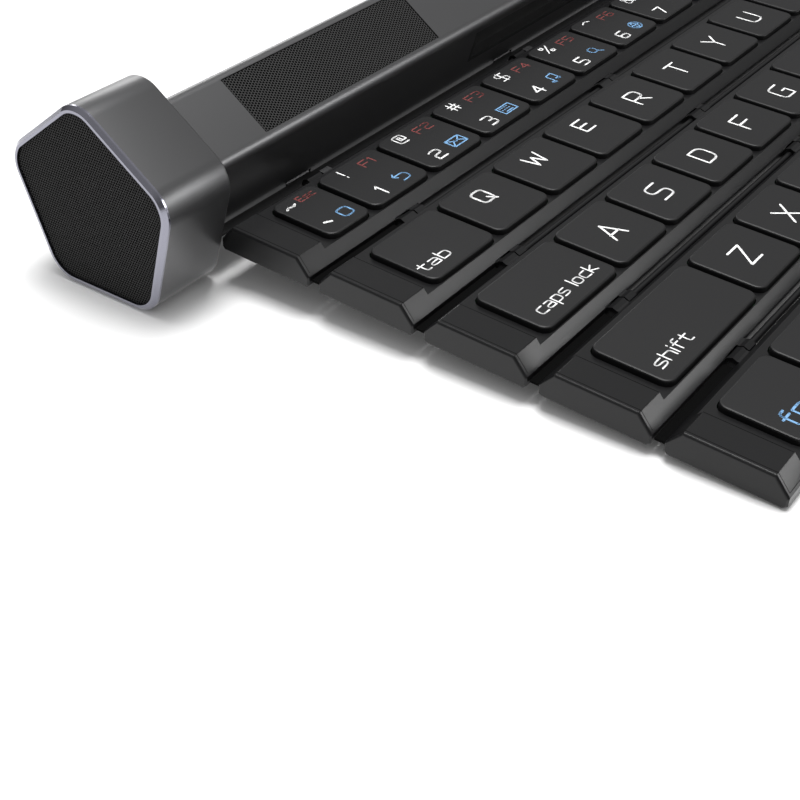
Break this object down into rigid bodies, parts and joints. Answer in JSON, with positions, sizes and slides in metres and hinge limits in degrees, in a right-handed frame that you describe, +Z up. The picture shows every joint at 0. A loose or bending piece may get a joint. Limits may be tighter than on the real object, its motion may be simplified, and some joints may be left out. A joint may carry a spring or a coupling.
{
  "type": "roll-up keyboard",
  "caption": "Roll-up keyboard: hinged key rows open flat from a five-sided speaker bar and wrap round it into a stick.",
  "frame": {"origin": "middle of the opened keyboard's outline, on the table", "axes": "+X along the key rows to the typist's right, +Y away from the typist, +Z up"},
  "size_m": [0.2872, 0.133, 0.0341],
  "materials": {
    "bar_metal": "satin gunmetal",
    "rim_metal": "polished",
    "grille_black": "matte black mesh",
    "row_plastic": "satin charcoal",
    "key_plastic": "fine matte charcoal",
    "channel_plastic": "matte black",
    "steel": "brushed",
    "board": "solder mask",
    "driver": "matte black",
    "cell": "wrapped cell"
  },
  "bodies": {
    "bar": {"bar_tube": "bar_metal", "left_end_cap": "bar_metal", "left_rim": "rim_metal", "left_end_grille": "grille_black", "left_driver": "driver", "front_grille_left": "grille_black", "front_driver_left": "driver", "right_end_cap": "bar_metal", "right_rim": "rim_metal", "right_end_grille": "grille_black", "right_driver": "driver", "front_grille_right": "grille_black", "front_driver_right": "driver", "rest_channel": "channel_plastic", "main_board": "board", "battery": "cell", "charge_socket": "steel", "bar_leaf_pins": "steel"},
    "power_switch": {"power_switch": "channel_plastic"},
    "link": {"bar_leaf": "steel", "hinge_1_pin": "steel"},
    "row_1": {"row_1_tray": "row_plastic", "row_1_deck": "row_plastic", "row_1_board": "board", "row_1_switches": "steel", "hinge_2_pin": "steel"},
    "row_1_keys": {"row_1_keys": "key_plastic"},
    "row_2": {"row_2_tray": "row_plastic", "row_2_deck": "row_plastic", "row_2_board": "board", "row_2_switches": "steel", "hinge_3_pin": "steel"},
    "row_2_keys": {"row_2_keys": "key_plastic"},
    "row_3": {"row_3_tray": "row_plastic", "row_3_deck": "row_plastic", "row_3_board": "board", "row_3_switches": "steel", "hinge_4_pin": "steel"},
    "row_3_keys": {"row_3_keys": "key_plastic"},
    "row_4": {"row_4_tray": "row_plastic", "row_4_deck": "row_plastic", "row_4_board": "board", "row_4_switches": "steel", "hinge_5_pin": "steel"},
    "row_4_keys": {"row_4_keys": "key_plastic"},
    "row_5": {"row_5_tray": "row_plastic", "row_5_deck": "row_plastic", "row_5_board": "board", "row_5_switches": "steel"},
    "row_5_keys": {"row_5_keys": "key_plastic"},
    "backspace_key": {"backspace_key": "key_plastic"},
    "tab_key": {"tab_key": "key_plastic"},
    "caps_lock_key": {"caps_lock_key": "key_plastic"},
    "enter_key": {"enter_key": "key_plastic"},
    "left_shift_key": {"left_shift_key": "key_plastic"},
    "right_shift_key": {"right_shift_key": "key_plastic"},
    "fn_key": {"fn_key": "key_plastic"},
    "space_bar": {"space_bar": "key_plastic"}
  },
  "joints": [
    {"name": "link_swing", "type": "hinge", "parent": "bar", "child": "link", "pos_m": [0, 0.04173, 0.00605], "axis": [-1, 0, 0], "range_deg": [-69.55, 0]},
    {"name": "fold_1", "type": "hinge", "parent": "link", "child": "row_1", "pos_m": [0, 0.03635, 0.00755], "axis": [-1, 0, 0], "range_deg": [0, 145.05]},
    {"name": "fold_2", "type": "hinge", "parent": "row_1", "child": "row_2", "pos_m": [0, 0.01559, 0.00628], "axis": [-1, 0, 0], "range_deg": [0, 72]},
    {"name": "fold_3", "type": "hinge", "parent": "row_2", "child": "row_3", "pos_m": [0, -0.00517, 0.00501], "axis": [-1, 0, 0], "range_deg": [0, 72]},
    {"name": "fold_4", "type": "hinge", "parent": "row_3", "child": "row_4", "pos_m": [0, -0.02593, 0.00374], "axis": [-1, 0, 0], "range_deg": [0, 72]},
    {"name": "fold_5", "type": "hinge", "parent": "row_4", "child": "row_5", "pos_m": [0, -0.04669, 0.00247], "axis": [-1, 0, 0], "range_deg": [0, 72]},
    {"name": "row_1_keys_press", "type": "slide", "parent": "row_1", "child": "row_1_keys", "axis": [0, -0.061, 0.9981], "range_m": [-0.0012, 0], "stiffness_N_per_m": 400, "springref_m": 0.0006},
    {"name": "row_2_keys_press", "type": "slide", "parent": "row_2", "child": "row_2_keys", "axis": [0, -0.061, 0.9981], "range_m": [-0.0012, 0], "stiffness_N_per_m": 400, "springref_m": 0.0006},
    {"name": "row_3_keys_press", "type": "slide", "parent": "row_3", "child": "row_3_keys", "axis": [0, -0.061, 0.9981], "range_m": [-0.0012, 0], "stiffness_N_per_m": 400, "springref_m": 0.0006},
    {"name": "row_4_keys_press", "type": "slide", "parent": "row_4", "child": "row_4_keys", "axis": [0, -0.061, 0.9981], "range_m": [-0.0012, 0], "stiffness_N_per_m": 400, "springref_m": 0.0006},
    {"name": "row_5_keys_press", "type": "slide", "parent": "row_5", "child": "row_5_keys", "axis": [0, -0.061, 0.9981], "range_m": [-0.0012, 0], "stiffness_N_per_m": 400, "springref_m": 0.0006},
    {"name": "backspace_key_press", "type": "slide", "parent": "row_1", "child": "backspace_key", "axis": [0, -0.061, 0.9981], "range_m": [-0.0012, 0], "stiffness_N_per_m": 400, "springref_m": 0.0006},
    {"name": "tab_key_press", "type": "slide", "parent": "row_2", "child": "tab_key", "axis": [0, -0.061, 0.9981], "range_m": [-0.0012, 0], "stiffness_N_per_m": 400, "springref_m": 0.0006},
    {"name": "caps_lock_key_press", "type": "slide", "parent": "row_3", "child": "caps_lock_key", "axis": [0, -0.061, 0.9981], "range_m": [-0.0012, 0], "stiffness_N_per_m": 400, "springref_m": 0.0006},
    {"name": "enter_key_press", "type": "slide", "parent": "row_3", "child": "enter_key", "axis": [0, -0.061, 0.9981], "range_m": [-0.0012, 0], "stiffness_N_per_m": 400, "springref_m": 0.0006},
    {"name": "left_shift_key_press", "type": "slide", "parent": "row_4", "child": "left_shift_key", "axis": [0, -0.061, 0.9981], "range_m": [-0.0012, 0], "stiffness_N_per_m": 400, "springref_m": 0.0006},
    {"name": "right_shift_key_press", "type": "slide", "parent": "row_4", "child": "right_shift_key", "axis": [0, -0.061, 0.9981], "range_m": [-0.0012, 0], "stiffness_N_per_m": 400, "springref_m": 0.0006},
    {"name": "fn_key_press", "type": "slide", "parent": "row_5", "child": "fn_key", "axis": [0, -0.061, 0.9981], "range_m": [-0.0012, 0], "stiffness_N_per_m": 400, "springref_m": 0.0006},
    {"name": "space_bar_press", "type": "slide", "parent": "row_5", "child": "space_bar", "axis": [0, -0.061, 0.9981], "range_m": [-0.0012, 0], "stiffness_N_per_m": 400, "springref_m": 0.0006},
    {"name": "power_slide", "type": "slide", "parent": "bar", "child": "power_switch", "axis": [1, 0, 0], "range_m": [0, 0.002]}
  ],
  "couplings": [
    {"joint": "link_swing", "follows": "fold_1", "ratio": -0.47949}
  ]
}
